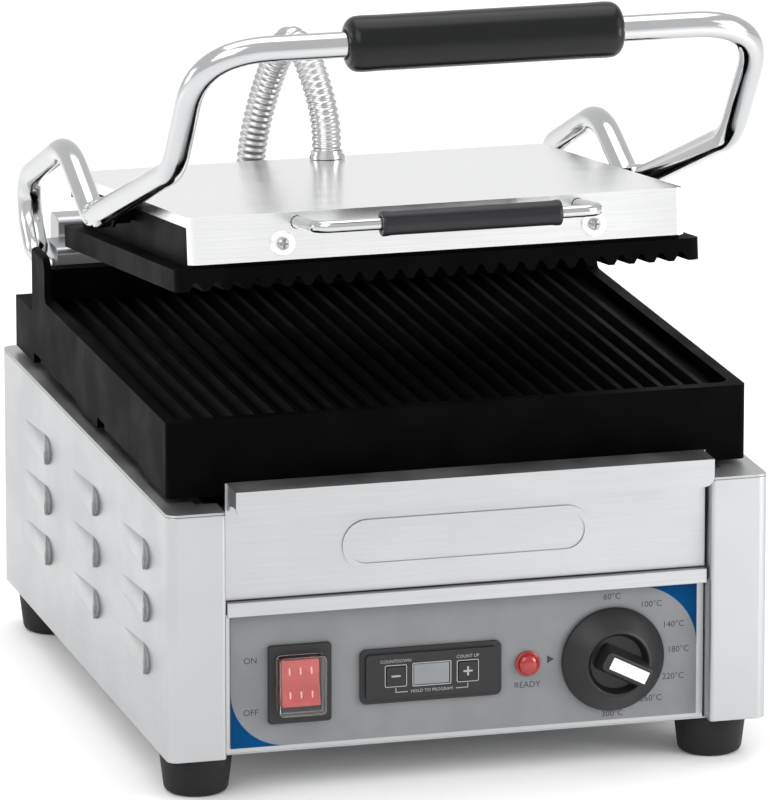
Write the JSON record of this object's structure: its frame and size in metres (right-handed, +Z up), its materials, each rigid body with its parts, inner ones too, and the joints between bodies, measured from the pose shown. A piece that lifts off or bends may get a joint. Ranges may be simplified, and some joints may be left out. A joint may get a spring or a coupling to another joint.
{
  "type": "panini press",
  "caption": "Electric contact grill with ribbed cast plates in a stainless base; a sprung chrome bail lifts the self-levelling upper plate, with a timer, thermostat and drip tray.",
  "frame": {"origin": "on the floor under the middle of the whole object", "axes": "+X to the right as seen from the front, +Y to the rear, +Z up"},
  "size_m": [0.297, 0.376, 0.374],
  "materials": {
    "stainless": "brushed stainless sheet",
    "chrome": "polished chrome plate",
    "cast_iron": "black enamelled casting",
    "black_plastic": "satin black moulding",
    "grip": "satin heat-resistant moulding",
    "foot_rubber": "matt moulded rubber",
    "label_film": "printed polycarbonate film",
    "red_plastic": "translucent red moulding",
    "clear_plastic": "clear flexible cover",
    "white_plastic": "satin white moulding",
    "display": "unlit liquid-crystal window",
    "element_sheath": "heat-tinted alloy sheath",
    "spring_steel": "oiled ground steel",
    "brass": "machined brass",
    "ceramic_board": "mineral board and steatite"
  },
  "bodies": {
    "base": {"left_side_panel": "stainless", "right_side_panel": "stainless", "rear_panel": "stainless", "bottom_plate": "stainless", "foot_front_left": "foot_rubber", "foot_front_right": "foot_rubber", "foot_rear_left": "foot_rubber", "foot_rear_right": "foot_rubber", "control_panel": "stainless", "panel_label": "label_film", "tray_shelf": "stainless", "rocker_switch_body": "black_plastic", "rocker_clear_cover": "clear_plastic", "timer_case": "black_plastic", "timer_display": "display", "ready_lamp": "red_plastic", "thermostat_body": "ceramic_board", "thermostat_bulb": "brass", "thermostat_capillary": "brass", "terminal_block": "white_plastic", "mains_cable_gland": "black_plastic", "lower_grill_plate": "cast_iron", "lower_heating_element": "element_sheath", "lower_element_clamp_front": "spring_steel", "lower_element_clamp_rear": "spring_steel", "lower_heat_shield": "stainless", "hinge_housing": "stainless", "wiring_cover": "stainless", "hinge_bush_left": "brass", "hinge_bush_right": "brass", "lift_spring_left": "spring_steel", "lift_spring_right": "spring_steel", "conduit_fitting_base": "chrome", "flexible_conduit_lower": "chrome"},
    "rocker": {"rocker_key": "red_plastic"},
    "key_minus": {"timer_key_minus": "black_plastic"},
    "key_plus": {"timer_key_plus": "black_plastic"},
    "knob": {"thermostat_knob": "black_plastic", "knob_pointer": "white_plastic", "thermostat_shaft": "spring_steel"},
    "tray": {"drip_tray": "stainless"},
    "arm": {"lift_bail": "chrome", "hinge_shaft": "spring_steel", "pivot_pin_left": "spring_steel", "pivot_pin_right": "spring_steel", "lift_handle_grip": "grip"},
    "upper": {"upper_grill_plate": "cast_iron", "upper_cover": "stainless", "upper_heating_element": "element_sheath", "upper_insulation_board": "ceramic_board", "front_handle_rod": "chrome", "front_handle_grip": "grip", "cover_washer_left": "chrome", "cover_washer_right": "chrome", "cover_screw_left": "chrome", "cover_screw_right": "chrome", "conduit_fitting_cover": "chrome", "flexible_conduit_upper": "chrome"}
  },
  "joints": [
    {"name": "arm_lift", "type": "hinge", "parent": "base", "child": "arm", "pos_m": [0, 0.144, 0.184], "axis": [-1, 0, 0], "range_deg": [-16, 34], "stiffness_Nm_per_rad": 3.6, "springref_deg": 131.78, "deforming": ["flexible_conduit_lower", "flexible_conduit_upper", "lift_spring_left", "lift_spring_right"]},
    {"name": "plate_tilt", "type": "hinge", "parent": "arm", "child": "upper", "pos_m": [0, 0.015, 0.244], "axis": [-1, 0, 0], "range_deg": [-18.6, 8.9]},
    {"name": "rocker_press", "type": "hinge", "parent": "base", "child": "rocker", "pos_m": [-0.0802, -0.1455, 0.0533], "axis": [1, 0, 0], "range_deg": [0, 16]},
    {"name": "thermostat_turn", "type": "hinge", "parent": "base", "child": "knob", "pos_m": [0.0715, -0.15, 0.0535], "axis": [0, 1, 0], "range_deg": [-207, 63]},
    {"name": "key_minus_press", "type": "slide", "parent": "base", "child": "key_minus", "axis": [0, 1, 0], "range_m": [0, 0.0008], "stiffness_N_per_m": 900, "springref_m": -0.0004},
    {"name": "key_plus_press", "type": "slide", "parent": "base", "child": "key_plus", "axis": [0, 1, 0], "range_m": [0, 0.0008], "stiffness_N_per_m": 900, "springref_m": -0.0004},
    {"name": "tray_slide", "type": "slide", "parent": "base", "child": "tray", "axis": [0, -1, 0], "range_m": [0, 0.11]}
  ],
  "couplings": [
    {"joint": "plate_tilt", "follows": "arm_lift", "ratio": -0.5375}
  ]
}
